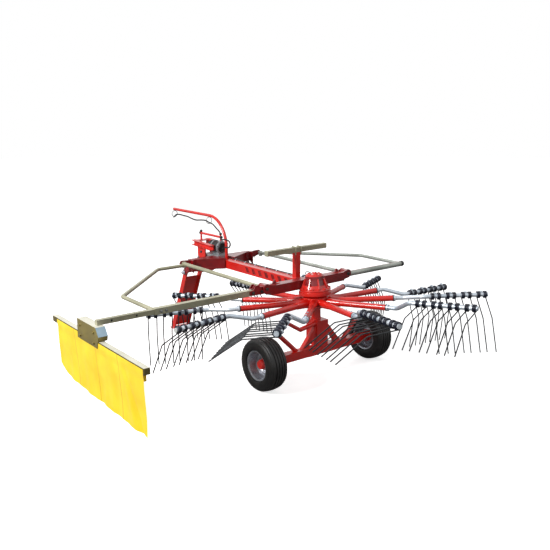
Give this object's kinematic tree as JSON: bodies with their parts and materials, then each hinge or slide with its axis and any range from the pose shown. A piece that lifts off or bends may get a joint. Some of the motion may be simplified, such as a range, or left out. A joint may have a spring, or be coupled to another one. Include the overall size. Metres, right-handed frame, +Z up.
{
  "type": "single rotor rotary hay rake",
  "caption": "Red towed rotary hay rake with one rotor of cranked tine arms, fold-up guards, a yellow swath curtain on a slide, two wheels and a parking stand.",
  "frame": {"origin": "on the floor, under the middle of the box around the whole rake", "axes": "+X to the rake's right, +Y the way it is towed, +Z up"},
  "size_m": [3.1124, 3.5706, 1.1221],
  "materials": {
    "red_paint": "glossy",
    "galvanised_steel": "satin",
    "zinc_plate": "satin",
    "spring_steel": "satin",
    "tyre_rubber": "matte",
    "silver_paint": "satin",
    "bare_steel": "satin",
    "cast_housing": "matte",
    "yellow_cloth": "matte"
  },
  "bodies": {
    "frame": {"main_beam": "red_paint", "cross_beam": "red_paint", "rotor_gearbox": "red_paint", "rotor_column": "red_paint", "chassis": "red_paint", "headstock": "red_paint", "hitch_mast": "red_paint", "link_pins": "bare_steel", "drive_gearbox": "cast_housing", "pto_shaft": "bare_steel", "release_lever": "red_paint", "hose_arch": "red_paint", "hose_rings": "bare_steel", "rest_post": "red_paint", "rest_bar": "galvanised_steel"},
    "rotor": {"rotor_hub": "red_paint", "tine_bar_1": "galvanised_steel", "tine_bar_2": "galvanised_steel", "tine_bar_3": "galvanised_steel", "tine_bar_4": "galvanised_steel", "tine_bar_5": "galvanised_steel", "tine_bar_6": "galvanised_steel", "tine_bar_7": "galvanised_steel", "tine_bar_8": "galvanised_steel", "tine_bar_9": "galvanised_steel", "tine_bar_10": "galvanised_steel", "tine_bar_11": "galvanised_steel", "tines_1": "spring_steel", "tines_2": "spring_steel", "tines_3": "spring_steel", "tines_4": "spring_steel", "tines_5": "spring_steel", "tines_6": "spring_steel", "tines_7": "spring_steel", "tines_8": "spring_steel", "tines_9": "spring_steel", "tines_10": "spring_steel", "tines_11": "spring_steel"},
    "wheel_left": {"tyre_left": "tyre_rubber", "rim_left": "silver_paint", "hub_left": "red_paint"},
    "wheel_right": {"tyre_right": "tyre_rubber", "rim_right": "silver_paint", "hub_right": "red_paint"},
    "left_guard": {"left_guard": "galvanised_steel"},
    "curtain_slide": {"slide_tube": "galvanised_steel", "curtain_bracket": "zinc_plate", "curtain_rail": "galvanised_steel", "curtain": "yellow_cloth"},
    "right_guard": {"right_guard": "galvanised_steel"},
    "stand": {"parking_stand": "red_paint"}
  },
  "joints": [
    {"name": "rotor_spin", "type": "hinge", "parent": "frame", "child": "rotor", "pos_m": [0.25884, -0.37666, 0.579], "axis": [0, 0.0732, 0.9973], "continuous": true},
    {"name": "wheel_left_spin", "type": "hinge", "parent": "frame", "child": "wheel_left", "pos_m": [-0.30916, -0.43866, 0.203], "axis": [1, 0, 0], "continuous": true},
    {"name": "wheel_right_spin", "type": "hinge", "parent": "frame", "child": "wheel_right", "pos_m": [0.82684, -0.43866, 0.203], "axis": [1, 0, 0], "continuous": true},
    {"name": "left_guard_fold", "type": "hinge", "parent": "frame", "child": "left_guard", "pos_m": [-0.17316, -0.26666, 0.731], "axis": [0, 1, 0], "range_deg": [0, 85]},
    {"name": "curtain_slide", "type": "slide", "parent": "left_guard", "child": "curtain_slide", "axis": [-1, 0, 0], "range_m": [-0.3, 0.25]},
    {"name": "right_guard_fold", "type": "hinge", "parent": "frame", "child": "right_guard", "pos_m": [0.69084, -0.26666, 0.731], "axis": [0, -1, 0], "range_deg": [0, 85]},
    {"name": "stand_fold", "type": "hinge", "parent": "frame", "child": "stand", "pos_m": [0.02384, 1.06534, 0.612], "axis": [1, 0, 0], "range_deg": [0, 60]}
  ]
}
